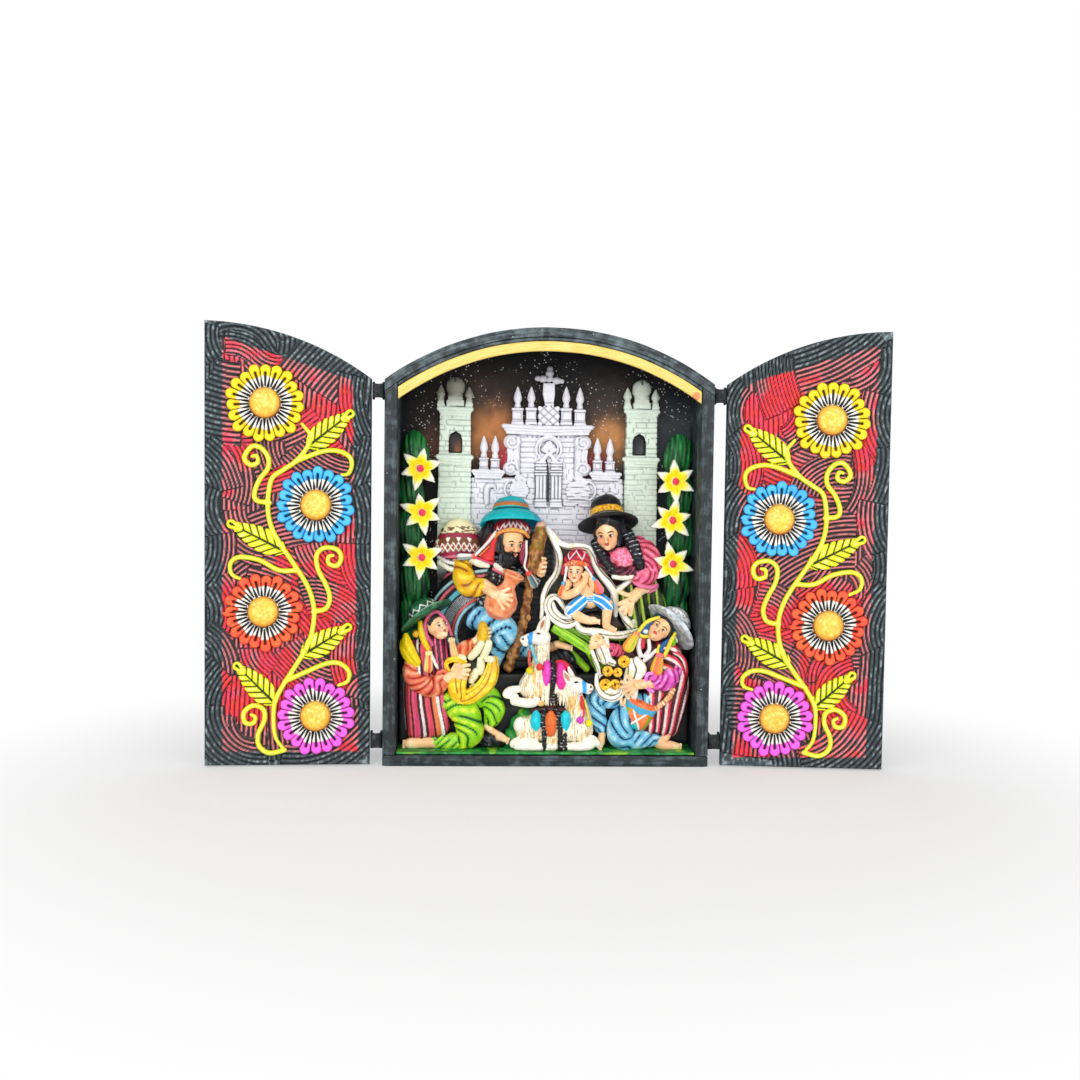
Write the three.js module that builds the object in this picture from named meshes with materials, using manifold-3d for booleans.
// Wooden retablo box with two painted doors and a nativity scene modelled in paste.
// Millimetres, +Z up. X runs to the viewer's right and Y to the back. The origin is the middle
// of the base board's underside, half way between the front rim and the back face.
import * as THREE from 'three';
import { mergeVertices } from 'three/addons/utils/BufferGeometryUtils.js';
import Module from 'manifold-3d';

// Driving dimensions of the case
const boxWidth = 165;
const boxDepth = 40;
const shoulderHeight = 194;
const apexHeight = 221;
const sideThickness = 6.4;
const baseThickness = 5.5;
const backThickness = 4;
const archBoardThickness = 4.7;
const archLinerThickness = 1.5;
const trimHeight = 5;
const trimThickness = 2;
const glueGap = 0.3;
const groundThickness = 1.4;
const stepHeight = 44;
const stepDepth = 14.7;

// Driving dimensions of the doors
const doorWidth = 81.5;
const doorThickness = 5.5;
const doorLift = 0.6;
const doorSetback = 1.6;
const hingeGap = 6.4;
const leftOpenTilt = 3;
const rightOpenTilt = 6;
const strapHeight = 9;
const strapThickness = 1.2;
const strapLegLength = 5;
const topStrapHeight = 184;
const bottomStrapHeight = 8;

// Driving dimensions of the flowers, vine and leaves on the doors
const daisyRadius = 19;
const petalCount = 18;
const petalNotchDepth = 2.6;
const petalHeight = 2;
const centreRadius = 7.8;
const centreHeight = 2.2;
const vineWidth = 2.3;
const vineHeight = 1.2;
const leafHalfWidth = 5;

// Driving dimensions of the church
const churchWallThickness = 3.4;
const churchReliefDepth = 2.2;
const churchWallTop = 145;
const churchBodyTop = 169;
const latticeTop = 183.5;
const towerWidth = 18.5;
const towerDepth = 6.5;
const towerTop = 180;
const leftTowerInset = 27.9;
const rightTowerInset = 26.5;
const crossHeight = 20.5;
const upperPinnacleHeight = 11.5;
const lowerPinnacleHeight = 19;
const towerPinnacleHeight = 11.3;
const columnHeight = 25;
const nicheHeight = 12.5;

// Driving dimensions of the lilies
const lilyRadius = 10.4;
const lilyPetalCount = 6;
const lilyThickness = 1.6;

const wasm = await Module();
wasm.setup();

const innerHalfWidth = boxWidth / 2 - sideThickness;
const frontY = -boxDepth / 2;
const innerBackY = boxDepth / 2 - backThickness;
const archRise = apexHeight - shoulderHeight;
const archRadius = ((boxWidth / 2) ** 2 + archRise ** 2) / (2 * archRise);
const archCentreHeight = apexHeight - archRadius;
const floorTop = baseThickness + glueGap + groundThickness;

const capRingRadius = 3.4;

const group = new THREE.Group();
const rad = THREE.MathUtils.degToRad;

function paint(color, roughness = 0.55, metalness = 0) {
  return new THREE.MeshStandardMaterial({ color, roughness, metalness });
}

function toSolid(geometry) {
  const bare = geometry.index ? geometry.toNonIndexed() : geometry.clone();
  bare.deleteAttribute('normal');
  bare.deleteAttribute('uv');
  const merged = mergeVertices(bare, 1e-4);
  return new wasm.Manifold(new wasm.Mesh({
    numProp: 3,
    vertProperties: new Float32Array(merged.attributes.position.array),
    triVerts: new Uint32Array(merged.index.array),
  }));
}

function toGeometry(solid) {
  const mesh = solid.getMesh();
  const geometry = new THREE.BufferGeometry();
  geometry.setAttribute('position', new THREE.BufferAttribute(mesh.vertProperties, 3));
  geometry.setIndex(new THREE.BufferAttribute(mesh.triVerts, 1));
  geometry.computeVertexNormals();
  return geometry;
}

function join(solids) {
  return solids.reduce((whole, solid) => whole.add(solid));
}

// Leaves out the crumbs that a cut can shave off a piece
function withoutCrumbs(solid) {
  return solid.decompose().sort((first, second) => second.volume() - first.volume())[0];
}

function addMesh(parent, name, geometry, material) {
  const mesh = new THREE.Mesh(geometry, material);
  mesh.name = name;
  parent.add(mesh);
  return mesh;
}

// Strokes: each gives a closed geometry, swollen by grow on all sides

function place(geometry, centre, turn = [0, 0, 0]) {
  const euler = new THREE.Euler(rad(turn[0]), rad(turn[1]), rad(turn[2]));
  geometry.applyMatrix4(new THREE.Matrix4().makeRotationFromEuler(euler));
  geometry.translate(...centre);
  return geometry;
}

function ball(centre, radii, turn, sides = 7, rings = 5) {
  return (grow) => {
    const geometry = new THREE.SphereGeometry(1, sides, rings);
    geometry.rotateX(Math.PI / 2);
    geometry.scale(radii[0] + grow, radii[1] + grow, radii[2] + grow);
    return place(geometry, centre, turn);
  };
}

function slab(centre, size, turn) {
  return (grow) => {
    const geometry = new THREE.BoxGeometry(...size.map((edge) => edge + 2 * grow));
    return place(geometry, centre, turn);
  };
}

function unit(from, to) {
  return new THREE.Vector3().subVectors(to, from).normalize();
}

// The ring of corners round one point of a limb, kept at full thickness where the limb bends
function ringCorners(point, radius, before, after, normal, sides) {
  const along = before.clone().add(after).normalize();
  const bend = after.clone().sub(before);
  const stretch = bend.length() < 1e-6 ? 0 : Math.min(1 / Math.max(along.dot(after), 0.1), 1.45) - 1;
  bend.normalize();
  normal.addScaledVector(along, -normal.dot(along)).normalize();
  const across = new THREE.Vector3().crossVectors(along, normal);
  return Array.from({ length: sides }, (_, side) => {
    const angle = (2 * Math.PI * side) / sides;
    const spoke = normal.clone().multiplyScalar(radius * Math.cos(angle));
    spoke.addScaledVector(across, radius * Math.sin(angle));
    spoke.addScaledVector(bend, stretch * spoke.dot(bend));
    return spoke.add(point);
  });
}

// A limb is one closed tube through points that each hold x, y, z and a radius
function limb(points, sides = 6) {
  return (grow) => {
    const centres = points.map(([x, y, z]) => new THREE.Vector3(x, y, z));
    const radii = points.map((point) => point[3] + grow);
    const last = points.length - 1;
    const steps = centres.slice(1).map((centre, index) => unit(centres[index], centre));
    const normal = new THREE.Vector3(0.31, 0.83, 0.46).cross(steps[0]).normalize();
    const rings = [];
    const capRing = (index, direction, sign) => {
      const shift = 0.62 * radii[index] * sign;
      const middle = centres[index].clone().addScaledVector(direction, shift);
      return ringCorners(middle, 0.74 * radii[index], direction, direction, normal, sides);
    };
    if (points[0][3] > capRingRadius) {
      rings.push(capRing(0, steps[0], -1));
    }
    centres.forEach((centre, index) => {
      const before = steps[Math.max(index - 1, 0)];
      const after = steps[Math.min(index, last - 1)];
      rings.push(ringCorners(centre, radii[index], before, after, normal, sides));
    });
    if (points[last][3] > capRingRadius) {
      rings.push(capRing(last, steps[last - 1], 1));
    }
    const tips = [
      centres[0].clone().addScaledVector(steps[0], -0.95 * radii[0]),
      centres[last].clone().addScaledVector(steps[last - 1], 0.95 * radii[last]),
    ];
    const corners = [...rings.flat(), ...tips];
    const startTip = corners.length - 2;
    const index = [];
    for (let side = 0; side < sides; side += 1) {
      const next = (side + 1) % sides;
      const top = (rings.length - 1) * sides;
      index.push(startTip, next, side, startTip + 1, top + side, top + next);
      for (let ring = 0; ring < rings.length - 1; ring += 1) {
        const low = ring * sides;
        const high = low + sides;
        index.push(low + side, low + next, high + next, low + side, high + next, high + side);
      }
    }
    const geometry = new THREE.BufferGeometry().setFromPoints(corners);
    geometry.setIndex(index);
    return geometry;
  };
}

// A turned form about its own upright axis, given as radius and height pairs
function turned(centre, profile, turn, sides = 12) {
  return (grow) => {
    const last = profile.length - 1;
    const points = profile.map(([radius, height], index) => {
      const before = profile[Math.max(index - 1, 0)];
      const after = profile[Math.min(index + 1, last)];
      const along = new THREE.Vector2(after[0] - before[0], after[1] - before[1]).normalize();
      const x = radius === 0 ? 0 : radius + along.y * grow;
      return new THREE.Vector2(Math.max(x, 0), height - along.x * grow);
    });
    const geometry = new THREE.LatheGeometry(points, sides);
    geometry.rotateX(Math.PI / 2);
    return place(geometry, centre, turn);
  };
}

// An outline in the X and Z plane, from the front face to the back face
function plateGeometry(outline, front, back) {
  const shape = new THREE.Shape(outline.map(([x, z]) => new THREE.Vector2(x, z)));
  const geometry = new THREE.ExtrudeGeometry(shape, { depth: back - front, bevelEnabled: false });
  geometry.rotateX(Math.PI / 2);
  geometry.translate(0, back, 0);
  return geometry;
}

function grownOutline(outline, grow) {
  const count = outline.length;
  const sum = outline.reduce((area, [x, z], index) => {
    const next = outline[(index + 1) % count];
    return area + x * next[1] - next[0] * z;
  }, 0);
  const out = Math.sign(sum) * grow;
  return outline.map(([x, z], index) => {
    const before = outline[(index + count - 1) % count];
    const after = outline[(index + 1) % count];
    const along = new THREE.Vector2(after[0] - before[0], after[1] - before[1]).normalize();
    return [x + along.y * out, z - along.x * out];
  });
}

function plate(outline, front, back) {
  return (grow) => plateGeometry(grownOutline(outline, grow), front - grow, back + grow);
}

function rectangle(left, right, bottom, top) {
  return [[left, bottom], [right, bottom], [right, top], [left, top]];
}

function solidOf(strokes, grow = 0) {
  return join(strokes.flat().map((stroke) => toSolid(stroke(grow))));
}

// Arc points at one radius about the arch's centre, from one X to another
function archArc(radius, fromX, toX, steps) {
  const start = Math.asin(fromX / radius);
  const end = Math.asin(toX / radius);
  return Array.from({ length: steps + 1 }, (_, index) => {
    const angle = start + ((end - start) * index) / steps;
    return [radius * Math.sin(angle), archCentreHeight + radius * Math.cos(angle)];
  });
}

// Case boards
const blackWood = paint(0x1c2022, 0.55);
const half = boxWidth / 2;
const boardBackY = innerBackY - glueGap;
const archUnder = archRadius - archBoardThickness;
const linerTopRadius = archUnder - glueGap;
const linerUnder = linerTopRadius - archLinerThickness;
const trimTopRadius = linerUnder - glueGap;
const trimUnder = trimTopRadius - trimHeight;
const innerClear = innerHalfWidth - glueGap;
const archSteps = 14;

function addBoard(name, outline, front, back, material = blackWood) {
  addMesh(group, name, plateGeometry(outline, front, back), material);
}

addBoard('base_board', rectangle(-half, half, 0, baseThickness), frontY, boardBackY);
for (const [name, side] of [['left_side_board', -1], ['right_side_board', 1]]) {
  const top = archArc(linerTopRadius, innerHalfWidth, half, 2).map(([x, z]) => [side * x, z]);
  const bottom = baseThickness + glueGap;
  const outline = [[side * half, bottom], [side * innerHalfWidth, bottom], ...top];
  addBoard(name, outline, frontY, boardBackY);
}
const outerArc = archArc(archRadius, half, -half, archSteps);
addBoard('back_board', [[-half, 0], [half, 0], ...outerArc], innerBackY, boxDepth / 2);
addBoard('arch_board', [...outerArc, ...archArc(archUnder, -half, half, archSteps)], frontY, boardBackY);

function archStrip(topRadius, underRadius) {
  const top = archArc(topRadius, innerClear, -innerClear, archSteps);
  return [...top, ...archArc(underRadius, -innerClear, innerClear, archSteps)];
}
addBoard('arch_liner', archStrip(linerTopRadius, linerUnder), frontY, boardBackY);
const trimOutline = archStrip(trimTopRadius, trimUnder);
addBoard('gold_arch_trim', trimOutline, frontY, frontY + trimThickness, paint(0xe8c45c, 0.45, 0.2));

// Doors: each group turns about its hinge line, and w runs from the hinge edge to the free edge
const hingeX = half + hingeGap / 2;
const doorTopSteps = 7;
const vineSide = 0.5 * vineWidth;

const stemPoints = [
  [42, 8.5], [46.5, 15], [47.5, 25.5], [46.5, 33.5], [42, 42.5], [36, 52], [30.5, 62], [28, 72],
  [28, 81], [30.5, 89.5], [35, 97.5], [42, 108], [48, 118], [50.5, 129], [49, 143], [43.5, 148],
  [37, 152.5], [31.5, 159.5], [30, 165.5], [33, 170],
];
const tendrilPoints = [
  [[49.8, 132], [56, 133], [57, 137], [54.5, 143.5], [50.5, 149], [50.5, 154.5], [54, 159],
    [58.5, 159.5], [62, 154], [59, 150.5], [55.5, 153.5]],
  [[37, 152.5], [24.5, 157.5], [16.5, 158], [11, 155.5], [9.5, 151.5], [11, 147], [14.5, 146]],
  [[36, 98.5], [45, 98.5], [54.5, 103.5], [64, 105], [68.5, 102], [68, 96.5], [62.5, 93.5]],
  [[28, 78], [22, 79.5], [20, 85], [22, 91.5], [26, 99.5], [26.5, 106.5], [22.5, 110],
    [16.5, 109], [14.5, 105], [16.5, 101], [20.5, 101.5]],
  [[42, 43], [31, 48], [21.5, 52], [15, 52], [10.5, 48], [11, 43], [15.5, 41]],
  [[42, 8.5], [49.5, 7], [54.5, 10.5], [55, 16.5], [52, 23.5], [52.5, 29], [57.5, 31],
    [62, 27.5], [61.5, 22.5], [57.5, 21.5]],
];
const leafEnds = [
  [[31, 160], [8.5, 178]],
  [[42.4, 108], [70.5, 122.5]],
  [[33.6, 56], [9, 71.5]],
  [[46.8, 32], [67, 52.5]],
];
const daisies = [
  ['yellow', 52, 181, 0xf2d52a],
  ['blue', 27, 131, 0x2f9de0],
  ['red', 52.6, 77.8, 0xf0552f],
  ['magenta', 26.8, 25.6, 0xd8349b],
];
const buttonProfile = [
  [0, -0.5 * petalHeight], [centreRadius, -0.5 * petalHeight], [centreRadius, 0],
  [0.75 * centreRadius, 0.7 * centreHeight], [0, centreHeight],
];
const rightDoorDrop = 4.4;
const dropStart = 25.6;
const dropEnd = 75;

// The right door's flowers sit a little lower, all but the bottom one
function doorHeight(side, z) {
  const share = THREE.MathUtils.smoothstep(z, dropStart, dropEnd);
  return side > 0 ? z - rightDoorDrop * share : z;
}

function petalRing(centre, radius) {
  const outline = [];
  const pitch = (2 * Math.PI) / petalCount;
  const petalShare = 0.27;
  for (let petal = 0; petal < petalCount; petal += 1) {
    const middle = petal * pitch;
    const marks = [[-petalShare, radius], [petalShare, radius], [0.5, radius - petalNotchDepth]];
    for (const [share, reach] of marks) {
      const angle = middle + share * pitch;
      outline.push([centre[0] + reach * Math.cos(angle), centre[1] + reach * Math.sin(angle)]);
    }
  }
  return outline;
}

// The outline of a flat strip along a path, with blunt ends
function stripOutline(path, width) {
  const last = path.length - 1;
  const edge = (sign) => path.map(([x, z], index) => {
    const [x0, z0] = path[Math.max(index - 1, 0)];
    const [x1, z1] = path[Math.min(index + 1, last)];
    const along = new THREE.Vector2(x1 - x0, z1 - z0).normalize();
    const push = index === 0 ? -width : width * (index === last);
    return [x + along.x * push - sign * along.y * width, z + along.y * push + sign * along.x * width];
  });
  return [...edge(1), ...edge(-1).reverse()];
}

function leafOutline(base, tip, halfWidth) {
  const along = new THREE.Vector2(tip[0] - base[0], tip[1] - base[1]);
  const across = new THREE.Vector2(-along.y, along.x).normalize();
  const shape = [
    [0, 0.18], [0.2, 0.8], [0.36, 0.7], [0.42, 1], [0.6, 0.8], [0.74, 0.45], [0.86, 0.5], [1, 0],
  ];
  const at = (share, width) => [
    base[0] + along.x * share + across.x * width * halfWidth,
    base[1] + along.y * share + across.y * width * halfWidth,
  ];
  const lower = shape.map(([share, width]) => at(share, width));
  const upper = shape.slice(0, -1).reverse().map(([share, width]) => at(share, -width));
  return [...lower, ...upper];
}

for (const [word, side, tilt] of [['left', -1, leftOpenTilt], ['right', 1, rightOpenTilt]]) {
  const door = new THREE.Group();
  door.position.set(side * hingeX, frontY, 0);
  door.rotation.z = -side * rad(tilt);
  group.add(door);
  const doorX = (w) => side * (hingeGap / 2 + w);
  const flip = (outline) => outline.map(([w, z]) => [doorX(w), z]);
  const faceY = doorSetback;
  const reliefBack = faceY - glueGap;

  const freeEdgeX = doorWidth - half;
  const topEdge = archArc(archRadius, -half, freeEdgeX, doorTopSteps);
  const panel = [
    [doorX(doorWidth), doorLift], [doorX(0), doorLift],
    ...topEdge.map(([x, z]) => [doorX(x + half), z]),
  ];
  const panelGeometry = plateGeometry(panel, faceY, faceY + doorThickness);
  addMesh(door, `${word}_door_panel`, panelGeometry, paint(0xb5303c, 0.6));

  const rings = [];
  for (const [hue, w, flatZ, color] of daisies) {
    const z = doorHeight(side, flatZ);
    const centre = [doorX(w), z];
    const front = reliefBack - petalHeight;
    const ring = plate(petalRing(centre, daisyRadius), front, reliefBack);
    rings.push(toSolid(ring(glueGap)));
    const button = turned([centre[0], front, centre[1]], buttonProfile, [90, 0, 0], 9);
    addMesh(door, `${word}_daisy_${hue}`, toGeometry(solidOf([ring, button])), paint(color, 0.5));
  }

  const raised = (points) => points.map(([w, z]) => [doorX(w), doorHeight(side, z)]);
  const vineStrips = [stemPoints, ...tendrilPoints].map((points) => (
    toSolid(plateGeometry(stripOutline(raised(points), vineSide), reliefBack - vineHeight, reliefBack))
  ));
  const leaves = leafEnds.map((ends) => {
    const [base, tip] = raised(ends);
    const outline = leafOutline(base, tip, leafHalfWidth);
    return toSolid(plateGeometry(outline, reliefBack - vineHeight, reliefBack));
  });
  const wholeVine = join([...vineStrips, ...leaves]);
  const vine = rings.reduce((left, ring) => left.subtract(ring), wholeVine);
  addMesh(door, `${word}_vine`, toGeometry(withoutCrumbs(vine)), paint(0xcdd41f, 0.5));
}

// Leather straps bridge the gap between the case's side and the door's hinge edge. Each is a
// channel that opens to the back, with one leg on the case and one on the tilted door edge.
const leather = paint(0x161616, 0.8);
for (const [word, side, tilt] of [['left', -1, leftOpenTilt], ['right', 1, rightOpenTilt]]) {
  const spin = -side * rad(tilt);
  const onDoor = (x, y) => [
    side * hingeX + side * x * Math.cos(spin) - y * Math.sin(spin),
    frontY + side * x * Math.sin(spin) + y * Math.cos(spin),
  ];
  const outerX = hingeGap / 2 - glueGap;
  const legStart = doorSetback + glueGap;
  const caseX = half + glueGap;
  const front = frontY + legStart;
  const plan = [
    [side * caseX, front], onDoor(outerX, legStart), onDoor(outerX, legStart + strapLegLength),
    onDoor(outerX - strapThickness, legStart + strapLegLength),
    onDoor(outerX - strapThickness, legStart + strapThickness),
    [side * (caseX + strapThickness), front + strapThickness],
    [side * (caseX + strapThickness), front + strapLegLength],
    [side * caseX, front + strapLegLength],
  ];
  const shape = new THREE.Shape(plan.map(([x, y]) => new THREE.Vector2(x, y)));
  for (const [end, bottom] of [['top', topStrapHeight], ['bottom', bottomStrapHeight]]) {
    const strap = new THREE.ExtrudeGeometry(shape, { depth: strapHeight, bevelEnabled: false });
    strap.translate(0, 0, bottom);
    addMesh(group, `${word}_${end}_strap`, strap, leather);
  }
}

// The scene: pieces earlier in this list keep their form, and later ones are cut to clear them
const scenePieces = [];

function piece(name, color, strokes, shift = [0, 0, 0]) {
  const moved = strokes.flat().map((stroke) => (grow) => stroke(grow).translate(...shift));
  scenePieces.push({ name, color, strokes: moved });
}

// Ground and the black step that the back row stands on
const groundHalf = innerHalfWidth - glueGap;
const groundFront = frontY + 0.8;
const sceneBack = boardBackY - glueGap;
const stepFront = sceneBack - stepDepth;
const floorBottom = baseThickness + glueGap;
const groundMiddle = (groundFront + sceneBack) / 2;
piece('ground_strip', 0x2f8a35, [
  slab(
    [0, groundMiddle, floorBottom + groundThickness / 2],
    [2 * groundHalf, sceneBack - groundFront, groundThickness],
  ),
  ball([-4, -4.5, floorTop], [17.5, 7.5, 22.5], [0, 0, 0], 10, 7),
]);
const stepBottom = floorTop + glueGap;
const stepTop = stepBottom + stepHeight - floorTop;
piece('rear_step', 0x151515, [
  plate(rectangle(-groundHalf, groundHalf, stepBottom, stepTop), stepFront, sceneBack),
]);
const standHeight = stepTop + glueGap;

// Church front: wall, body, cornices, columns, scrolls, pinnacles and the cross
const wallFront = sceneBack - churchWallThickness;
const reliefFront = wallFront - churchReliefDepth;

function relief(left, right, bottom, top) {
  return plate(rectangle(left, right, bottom, top), reliefFront, sceneBack);
}

function pinnacle(x, bottom, height, y) {
  const profile = [[0, -1], [1.5, -1], [2.2, 0.4 * height], [1.1, 0.7 * height], [0, height]];
  return turned([x, y, bottom], profile, [0, 0, 0], 5);
}

const pinnacleY = sceneBack - 2.9;
const leftTowerX = leftTowerInset - innerHalfWidth;
const rightTowerX = innerHalfWidth - rightTowerInset;
const wallLeft = leftTowerX + towerWidth / 2 - 0.55;
const wallRight = rightTowerX - towerWidth / 2 + 0.15;
const cornice = churchBodyTop + 5;
const bodyOutline = [
  [wallLeft, standHeight], [wallRight, standHeight], [wallRight, churchWallTop], [15.5, churchWallTop],
  [15.5, churchBodyTop], [-14, churchBodyTop], [-14, churchWallTop], [wallLeft, churchWallTop],
];
const columnXs = [-5, -0.8, 3.4, 7.2];
const nicheFoot = churchBodyTop - nicheHeight;
const columnFoot = nicheFoot - columnHeight;
const crossTop = latticeTop + crossHeight;
const armTop = crossTop - 4.5;
const armUnder = armTop - 4;
const scrollPath = (side, x) => limb([
  [x + side * 4.5, pinnacleY, churchBodyTop - 4, 2.2], [x, pinnacleY, churchBodyTop - 6, 2.6],
  [x - side * 0.5, pinnacleY, churchBodyTop - 15, 2.2],
  [x + side * 3, pinnacleY, churchBodyTop - 19, 2.4],
], 6);
piece('church_facade', 0xe9e6f0, [
  plate(bodyOutline, wallFront, sceneBack),
  relief(-23.5, 24.5, churchBodyTop - 1, churchBodyTop + 5.5),
  relief(-18.5, -11, cornice, latticeTop),
  relief(-5.5, 6, cornice, latticeTop),
  relief(11, 18.5, cornice, latticeTop),
  plate(rectangle(-11.5, 11.5, cornice, cornice + 4), wallFront, sceneBack),
  [-15.5, -8.5, 9.5, 16.5].map((x) => pinnacle(x, latticeTop - 1, upperPinnacleHeight, pinnacleY)),
  plate(rectangle(-10, -6.5, cornice, latticeTop), wallFront, sceneBack),
  plate(rectangle(7.5, 11.2, cornice, latticeTop), wallFront, sceneBack),
  plate([
    [-0.8, latticeTop - 1], [2, latticeTop - 1], [2, armUnder + 0.5], [8, armUnder], [8, armTop],
    [2.2, armTop + 0.5], [2.4, crossTop], [-1.2, crossTop], [-1, armTop + 0.5], [-6.5, armTop],
    [-6.5, armUnder], [-0.8, armUnder + 0.5],
  ], wallFront - 0.6, sceneBack - 0.4),
  relief(wallLeft - 0.5, -21.5, churchWallTop - 0.5, churchWallTop + 4.5),
  relief(21.5, wallRight + 0.5, churchWallTop - 0.5, churchWallTop + 4.5),
  [-33, -27, 27, 33.5].map((x) => pinnacle(x, churchWallTop + 4, lowerPinnacleHeight, pinnacleY)),
  scrollPath(-1, -16.5),
  scrollPath(1, 17.5),
  columnXs.map((x) => relief(x - 1, x + 1, columnFoot, nicheFoot)),
  relief(-7.5, 10, nicheFoot - 0.5, nicheFoot + 2),
  relief(-7.5, 10, columnFoot - 3, columnFoot + 0.5),
  relief(-4.5, 7, nicheFoot + 2, churchBodyTop - 2.5),
]);

// Bell towers: body with an arched window, cornices, dome and two pinnacles
for (const [name, x] of [['left_bell_tower', leftTowerX], ['right_bell_tower', rightTowerX]]) {
  const side = towerWidth / 2;
  const front = sceneBack - towerDepth;
  const band = (bottom, top, over) => plate(
    rectangle(x - side - over, x + side + over, bottom, top), front - 0.6 * over, sceneBack,
  );
  const window = 3.4;
  const sill = towerTop - 22;
  const windowTop = towerTop - 11.5;
  const towerPost = (left, right) => plate(rectangle(left, right, sill - 1, towerTop), front, sceneBack);
  piece(name, 0xe0efdf, [
    plate(rectangle(x - side, x + side, standHeight, sill - 3), front, sceneBack),
    band(sill - 4.5, sill, 1),
    towerPost(x - side + 1, x - window),
    towerPost(x + window, x + side - 1),
    plate(rectangle(x - side + 1, x + side - 1, windowTop, towerTop), front, sceneBack),
    plate(rectangle(x - side + 1, x + side - 1, sill - 1, windowTop + 1), sceneBack - 2, sceneBack),
    band(towerTop - 0.5, towerTop + 3, 0.6),
    ball([x, sceneBack - 4, towerTop + 5], [5, 3.9, 12.5]),
    [-7.3, 7.3].map((shift) => pinnacle(x + shift, towerTop + 2.5, towerPinnacleHeight, sceneBack - 3)),
  ]);
}

// The figures' points were measured in a case with these faces. Each row moves with the floor or
// step that it stands on and with the rim or back board that it stands near.
const measuredFloor = 7.2;
const measuredStand = 44.6;
const measuredFront = -20;
const measuredBack = 15.4;
const frontRow = [0, frontY - measuredFront, floorTop - measuredFloor];
const backRow = [0, sceneBack - measuredBack, standHeight - measuredStand];

// Kneeling father: hat, head, jug, staff, bundle and body
const feltHat = (brim, crown, height, droop) => [
  [0, -0.6], [crown - 1, -0.8], [brim, -droop - 0.6], [brim + 0.2, -droop + 0.5], [crown + 1.2, 1],
  [crown, 0.45 * height], [0.72 * crown, 0.9 * height], [0, height],
];
piece('joseph_hat', 0x14a5a8, [
  turned([-18.5, 1, 122], feltHat(15.6, 9.2, 11, 1.6), [-17, 0, 0]),
], backRow);
piece('joseph_head', 0xd9a06f, [
  ball([-19.2, 0, 114.5], [7, 7, 8.2]),
  ball([-18.5, 1.5, 118.2], [10.4, 8, 5.6]),
  ball([-21.2, -2.5, 106.8], [5.8, 5.4, 5.6]),
  limb([[-26.5, 0.5, 117, 3.6], [-30.5, -1.5, 110.5, 2.7], [-36, -2.8, 106, 1.7], [-43, -3, 105.2, 1.9]]),
  limb([[-12, 0.5, 117.5, 3.4], [-9.6, -2.5, 108, 2.4], [-9.6, -5, 98.5, 1.6], [-7, -5.2, 91, 2.1]]),
], backRow);
piece('water_jug', 0xd8713f, [
  ball([-24, -7, 81.6], [8.4, 7.6, 8.2]),
  limb([[-22, -7, 86, 5], [-18.6, -7, 92.5, 3.3], [-16.4, -7, 97.4, 4.3]], 8),
], backRow);
piece('walking_staff', 0x7a5536, [
  limb([
    [-3.8, -4, 119.5, 3.6], [-5.6, -4, 110, 3.9], [-8, -3.2, 98.5, 2.5], [-9.5, -2.6, 85.5, 2.2],
    [-12.5, -1, 67.5, 2.2], [-19, 2.6, 47.4, 2.6],
  ]),
], backRow);
piece('joseph_bundle', 0x8c4a35, [
  ball([-45.5, 6.5, 110.5], [12, 7.6, 9.6]),
  ball([-45.8, 6.5, 114.5], [8, 6.4, 9.6]),
], backRow);
piece('baby', 0xe6b184, [
  ball([15, -4.5, 98.2], [5.4, 5.2, 5.6]),
  ball([15.4, -3.6, 102.4], [6.6, 5.4, 5.2]),
  limb([[9.4, -4.6, 100, 1.9], [8.2, -5.6, 88.5, 2.2]]),
  limb([[21.6, -4.6, 100, 1.9], [26.5, -5.6, 90, 2.2]]),
  limb([[17.5, -4, 91, 4.8], [22.5, -4, 83.5, 5.6]]),
  limb([[9.5, -6.8, 87.5, 2.2], [14.5, -8.2, 90, 2.4], [20, -8, 96.2, 1.9]]),
  limb([[22, -6, 98, 2], [25.5, -6.6, 91, 2.3]]),
  limb([[21.5, -5, 81.5, 4.2], [12.5, -6.8, 77.5, 3.2], [20, -8, 74.5, 2.4], [27, -8.6, 73.6, 1.9]]),
  limb([[25, -5, 83, 4.2], [31.5, -7, 82, 3.4], [30.5, -8, 75, 2.5], [33, -9, 69, 2]]),
], backRow);
piece('joseph_body', 0x3b3f45, [
  limb([[-28, 5, 100, 7], [-36, 5.4, 92, 9], [-44, 6, 74, 9.2], [-45.5, 6.4, 58, 8.8]], 7),
  limb([[-45, 4.5, 95.5, 6], [-53, 5.5, 80, 5.5], [-54, 5.5, 64, 5]]),
  limb([[-43, -0.6, 99.4, 5.4], [-39.5, -4.2, 90, 5.8], [-32.4, -6.4, 90.6, 4.3]]),
  limb([[-30, -7.4, 91, 3.1], [-25, -9.6, 88.5, 2.9], [-19.5, -13.4, 84, 2.6]]),
  limb([[-17, 4, 96, 6], [-8, 2.4, 90.5, 4], [-2.2, -1.4, 97.5, 3], [-1.6, -4, 103, 2.6]]),
  limb([
    [-37, 3, 72, 8], [-28.5, -2, 69.8, 7], [-20.5, -3.4, 67.6, 6.6], [-26, 0, 55, 6],
    [-28.4, 3, 47.4, 4.4],
  ]),
  limb([[-26, 7.4, 62, 5], [-6, 7, 56.5, 4.2], [5, 3, 56, 3.2], [14.6, 0.4, 58, 2.4]]),
  ball([6, 5, 49], [9, 5, 5]),
], backRow);

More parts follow.
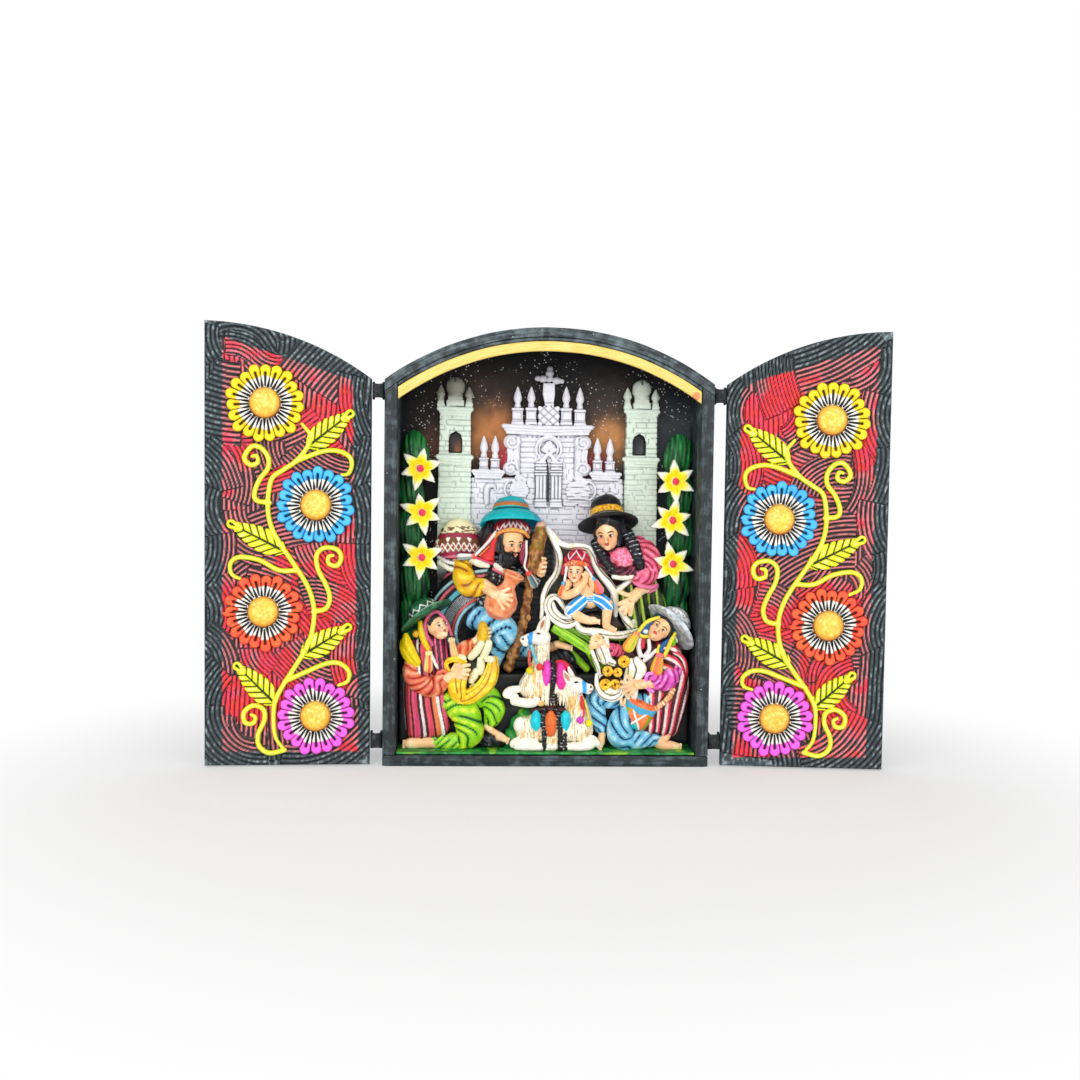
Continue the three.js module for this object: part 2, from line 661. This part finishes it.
// Mother: hat, head and body
piece('mary_hat', 0x1a1a1c, [
  turned([32.4, 1, 123.4], feltHat(14.4, 9, 12.6, 1.2), [-24, 3, 0]),
], backRow);
piece('mary_head', 0xdba376, [
  ball([31.6, 0, 117.8], [6.2, 6.4, 8]),
  ball([34.6, 3, 118], [9, 6.6, 9.6]),
  limb([[42, 1.6, 117, 4.4], [46, 0, 110, 3.5], [47.6, -1, 103, 3], [46.4, -1.6, 99, 2]]),
  limb([[27, 2, 112.5, 3.2], [31, 0.2, 106, 2.9], [34.6, -1, 100.6, 2]]),
], backRow);

// White cloth that stands up round the child like a pointed shell
const clothHood = [
  [-0.5, 121], [1.5, 121], [8, 113], [18, 111.6], [25, 104.5], [31, 94.5], [37, 83], [39.5, 74],
  [33, 66], [22.5, 68], [5, 69.5], [-3, 66.5], [-4, 76], [-2.5, 85.5], [1.4, 94.5], [5, 100], [3.5, 109],
];
piece('manger_cloth', 0xf4efdf, [
  plate(clothHood, 0.6, 3.6),
  limb([
    [0.5, 1.4, 119.4, 1.6], [5.5, 0.4, 108.5, 2], [6.8, -0.4, 99.5, 2], [1.6, -1.4, 91.5, 2.2],
    [-1.6, -2.2, 80, 2.2], [-1.6, -3, 69, 2.6],
  ]),
  limb([
    [0.5, 1.4, 119.4, 1.6], [7.5, 1.4, 111.6, 2.1], [17.5, 1.4, 110, 2], [23.8, 0.6, 103.5, 2],
    [30, -0.4, 93.5, 2.1], [35.6, -1.4, 83, 2.2], [38, -2, 75, 2.4],
  ]),
  limb([
    [-1.6, -3, 69.4, 2.6], [6, -6, 70, 3], [15, -7.6, 68.6, 3], [24, -8.4, 66.6, 3],
    [34, -7.4, 64.6, 3], [46, -2.6, 63.4, 2.8],
  ]),
  limb([[24, -9.4, 65.6, 2.8], [28, -10.4, 58.5, 2.6], [30.4, -10.4, 52.6, 2.2]]),
  ball([14, -1.6, 76], [17, 4.6, 6]),
], backRow);

// Manger: crossed rails on four feet
piece('manger', 0x6fae1d, [
  slab([14, -5.6, 61.2], [24, 3, 4.4], [0, 33, -12]),
  slab([34, 4, 63], [38, 3, 4.4], [0, 4, 0]),
  limb([[22, -5.6, 57, 1.9], [28, 3.4, 46.2, 1.9]], 6),
  limb([[28, 3.6, 46.2, 1.9], [46, 4.4, 62, 1.9]], 6),
  limb([[9, 4, 60, 1.9], [22, 4.4, 46.2, 1.9]], 6),
  limb([[9, -3.6, 64, 1.9], [9, 4, 60, 1.9]], 6),
], backRow);
piece('mary_body', 0xcf4a6c, [
  limb([[37, 6, 104, 7.4], [44, 7, 84, 9], [48, 6.6, 50.6, 9.6]], 7),
  ball([38.4, 1.8, 103.6], [6.4, 5, 6.4]),
  limb([[48.6, 2.6, 110, 5.4], [54.6, 0.6, 102.6, 5.6], [54.8, -1.4, 95, 5.4], [52.2, -2.6, 91, 5]]),
  limb([[51, -4, 89, 3.4], [45, -6, 85, 3.1], [39.6, -7, 80, 2.6]]),
  limb([[55, 5, 88, 5.4], [60, 5, 66, 6.4], [60.5, 6, 49.6, 6]]),
], backRow);

// Left shepherd kneels with a cloth full of tubers
piece('left_shepherd_hat', 0x2c6b3a, [
  turned([-61.6, -7.4, 75.4], feltHat(14.4, 8.6, 8.4, 0.2), [-16, -31, 0]),
], frontRow);
piece('left_shepherd_head', 0xdba577, [
  ball([-56.6, -9.4, 69], [5.8, 5.8, 7]),
  ball([-58.4, -7.4, 71.4], [7, 6, 7]),
  limb([
    [-63.6, -8.6, 71.6, 2.4], [-62.4, -11, 63, 2.4], [-59.6, -12.2, 57, 1.9],
    [-59.8, -12.6, 50, 1.9],
  ]),
  limb([[-52, -9, 74.4, 2], [-49.6, -10.6, 69, 1.8], [-48, -11, 63, 1.6], [-45.4, -11.2, 56, 1.7]]),
], frontRow);
piece('potato_cloth', 0xe0a62c, [
  ball([-37.4, -9.4, 43], [12, 6, 10.6], [0, -8, 0], 10, 7),
  limb([
    [-46, -10.4, 50.5, 2.4], [-44.6, -12.4, 36, 2.6], [-36, -12.6, 34, 2.6], [-28, -12, 40, 2.4],
    [-26.4, -10.6, 50, 2],
  ]),
  limb([[-38, -9.6, 53.6, 2.5], [-34.8, -10, 60, 2.4]]),
  limb([[-31, -9.6, 49, 2.5], [-29.6, -10, 61, 2.3]]),
], frontRow);
piece('left_shepherd_body', 0xc8473f, [
  limb([[-64, -4.4, 55, 7.6], [-64.6, -5, 39, 8.4], [-61, -5.4, 20, 9.4]], 7),
  limb([[-69, -8, 49.6, 5], [-65, -10.2, 41, 5.6], [-59.6, -10.8, 38.8, 5.4], [-53.4, -11.4, 43.6, 4.4]]),
  limb([[-51.6, -12, 43.6, 2.8], [-45.4, -13.6, 47, 2.6], [-40.6, -14.2, 49.4, 2.1]]),
  limb([
    [-56, -3, 50, 4], [-43, -4.6, 55.6, 4], [-37.4, -5.4, 60, 2.8], [-32.6, -6.6, 65, 3.2],
    [-32.4, -6.8, 69, 2.8],
  ]),
  limb([
    [-49, -6.4, 32.5, 8], [-40, -9.4, 26, 6.8], [-37.4, -10, 15.6, 6.4], [-50, -8.4, 12, 4.8],
    [-58, -8.6, 10.2, 3],
  ]),
  limb([[-58, -8.6, 10.4, 3], [-68.6, -8.8, 9.8, 2.6]]),
  limb([
    [-41, -3.4, 32, 6], [-28, -5, 32.6, 6.4], [-24.6, -6.4, 26, 5.8], [-26.2, -6.6, 20, 4.4],
    [-24, -8, 16.4, 2.4], [-19.6, -8.8, 13, 2],
  ]),
  ball([-29.6, -6.4, 11.4], [8.6, 5.4, 4.6]),
  limb([[-71, -11, 65, 2.4], [-69.6, -12, 58, 3], [-65, -12, 52, 2.2]]),
], frontRow);

// Right shepherd kneels with bread rings, and a drum hangs at the hip
piece('right_shepherd_hat', 0x9ea6ab, [
  turned([65, -5.4, 70], feltHat(15, 9, 9.4, 0.2), [-32, 43, 0]),
], frontRow);
piece('right_shepherd_head', 0xdca779, [
  ball([57.6, -9, 69.4], [6, 5.8, 7.2]),
  ball([60, -7, 71.4], [7.4, 6, 7.4]),
  limb([[52.6, -9, 74.6, 2], [48.4, -10.8, 70, 1.9], [45.2, -11.6, 67, 1.5], [42.2, -12.4, 61.4, 2.6]]),
  limb([[64.6, -8.6, 68, 2.2], [60.8, -11, 61, 1.9], [58.6, -12, 55.6, 1.6], [56, -12.6, 49.6, 2.6]]),
], frontRow);
piece('drum', 0xd96a2c, [
  turned(
    [50.4, -9, 27.4], [[0, -8], [7, -8], [8.6, -3], [8.8, 3], [8.2, 6.4], [0, 6.6]], [14, 22, 0], 10,
  ),
], frontRow);
piece('bread_cloth', 0xe9c96a, [
  limb([[46, -11.4, 52, 3.4], [48.6, -11.8, 45, 4], [45, -11.8, 38.4, 3]]),
  ball([33.6, -10.6, 43.4], [8, 4.6, 7.6]),
  ball([39.6, -10.6, 49], [5, 3.6, 5]),
  ball([44, -11.6, 55], [3.2, 2.6, 3.2]),
], frontRow);
piece('right_shepherd_body', 0xd1557f, [
  limb([[62, -4.4, 57, 7.4], [66.4, -5, 40, 8.6], [64.6, -5.4, 21, 9.6]], 7),
  limb([[67, -8.4, 51, 5.2], [69, -9.6, 44, 5.4], [64, -11, 40.4, 4.8], [56, -11.8, 42.2, 4.2]]),
  limb([[53, -13, 43, 2.8], [48, -14, 43.8, 2.5], [41.4, -14.2, 44.4, 2.1]]),
  limb([[55, -3, 52, 4.6], [37.6, -4.4, 55.4, 4.4], [31, -5, 58.6, 3], [26.4, -6, 64.6, 2.6]]),
  limb([
    [52, -5.6, 31.6, 7.4], [44, -8.4, 25, 7], [37.6, -9.6, 15.8, 6.6], [49, -9, 12.4, 5],
    [58, -9.6, 10.4, 3],
  ]),
  limb([[58, -9.6, 10.6, 3], [70, -10, 9.6, 2.4]]),
  limb([
    [43, -4, 32, 6], [26.6, -6, 32.6, 5.8], [28.6, -6.6, 25.6, 5], [30.2, -7.6, 18, 3.6],
    [29.6, -9, 10.4, 2.9],
  ]),
], frontRow);

// Two resting llamas with packs and halters
piece('front_llama', 0xf2e6c4, [
  limb([[13.4, -10, 44.4, 4.6], [20.4, -12, 40.8, 3]]),
  limb([[10.6, -9, 46.6, 1.8], [8.6, -9, 50, 1.2]]),
  limb([[13.4, -9.4, 42, 4.8], [17.6, -9.8, 30, 5.6], [17.6, -9.4, 20, 6.6]]),
  limb([[17.4, -9.4, 18, 7], [2, -9, 17.6, 8], [-8, -9, 17, 6.6]], 7),
  limb([[-14, -12.6, 11.6, 2.8], [-5, -14, 9.4, 2.4], [8, -14.2, 9.4, 2.3]]),
  limb([[6, -13.4, 9.6, 2.3], [18, -14, 9.4, 2.4], [26.6, -12.6, 11, 2.3]]),
  [-7, 1, 9].map((x) => ball([x, -11.2, 19.4], [3.9, 5.2, 8.8])),
], frontRow);
piece('back_llama', 0xf4ead0, [
  limb([[-6, -8.6, 63, 4.6], [-12.4, -10, 63, 3]]),
  limb([[-1.8, -8, 67, 2], [0, -8, 73.4, 1.2]]),
  limb([[-3, -7.4, 60, 4.6], [-3, -7.4, 48, 5.4], [-5.6, -6.8, 38, 7]]),
  limb([[-5, -6, 38, 7.4], [6, -5.4, 38, 7.6], [12, -5.4, 37, 6.6]], 7),
  limb([[-19.4, -9.6, 36, 2.6], [-13, -10.4, 32.4, 2.5], [-4, -10, 32, 2.5]]),
  [1, 7, 12.6].map((x) => ball([x, -7, 42], [3.6, 5.2, 8.6])),
], frontRow);

// Lilies on both sides: dark leaf pads behind and star flowers in front. Each place is given as its
// distance from the side board and its height.
const leftLilies = [[10.5, 150], [11.7, 127.5], [11.7, 104.5]];
const rightLilies = [[10.5, 145], [11.7, 125], [11.1, 102.4]];
const leafPads = [
  [7.5, 158, 7.4, 12], [6.1, 137, 6.6, 13], [5.1, 116, 7, 14], [7.5, 92, 8, 15], [6.5, 64, 6, 21],
];
const lilyY = -4;
const padY = 7;

function lilyStar(centre, tilt) {
  const outline = [];
  const waist = 0.52;
  for (let tip = 0; tip < lilyPetalCount; tip += 1) {
    for (const [share, reach] of [[0, 1], [0.5, waist]]) {
      const angle = rad(tilt) + ((tip + share) * 2 * Math.PI) / lilyPetalCount;
      const length = reach * lilyRadius;
      outline.push([centre[0] + length * Math.cos(angle), centre[1] + length * Math.sin(angle)]);
    }
  }
  return plate(outline, lilyY - lilyThickness, lilyY);
}

const lilySides = [['left', leftLilies, -1, 78], ['right', rightLilies, 1, 100]];
for (const [word, flowers, side, tilt] of lilySides) {
  for (const [index, [inset, z]] of flowers.entries()) {
    const x = side * (innerHalfWidth - inset);
    piece(`${word}_lily_${['top', 'middle', 'bottom'][index]}`, 0xf8f3cf, [
      lilyStar([x, z], tilt),
      limb([[x, lilyY - 1, z, 2.2], [x + side * 2, padY - 1, z, 1.8]], 6),
    ], backRow);
  }
  piece(`${word}_lily_leaves`, 0x14532a, leafPads.map(([inset, z, wide, tall]) => (
    ball([side * (innerHalfWidth - inset), padY, z], [wide, 5.4, tall], [0, side * 6, 0])
  )), backRow);
}

// Space that the scene may fill: inside the boards, above the ground and behind the closed doors
const sceneFront = frontY + 3.4;
const roofRadius = linerUnder - glueGap;
const roof = archArc(roofRadius, innerClear, -innerClear, archSteps);
const inside = toSolid(plateGeometry(
  [[-innerClear, floorBottom], [innerClear, floorBottom], ...roof], groundFront, sceneBack,
));
const aboveGround = toSolid(plateGeometry(
  [[-innerClear, floorTop + glueGap], [innerClear, floorTop + glueGap], ...roof], sceneFront, sceneBack,
));

function boxesMeet(first, second) {
  const a = first.boundingBox();
  const b = second.boundingBox();
  return [0, 1, 2].every((axis) => a.min[axis] < b.max[axis] && b.min[axis] < a.max[axis]);
}

const placed = [];
for (const { name, color, strokes } of scenePieces) {
  const room = placed.length === 0 ? inside : aboveGround;
  let solid = solidOf(strokes).intersect(room);
  for (const neighbour of placed) {
    if (boxesMeet(solid, neighbour)) {
      solid = solid.subtract(neighbour);
    }
  }
  const whole = withoutCrumbs(solid);
  placed.push(solidOf(strokes, glueGap));
  addMesh(group, name, toGeometry(whole), paint(color));
}

export default group;
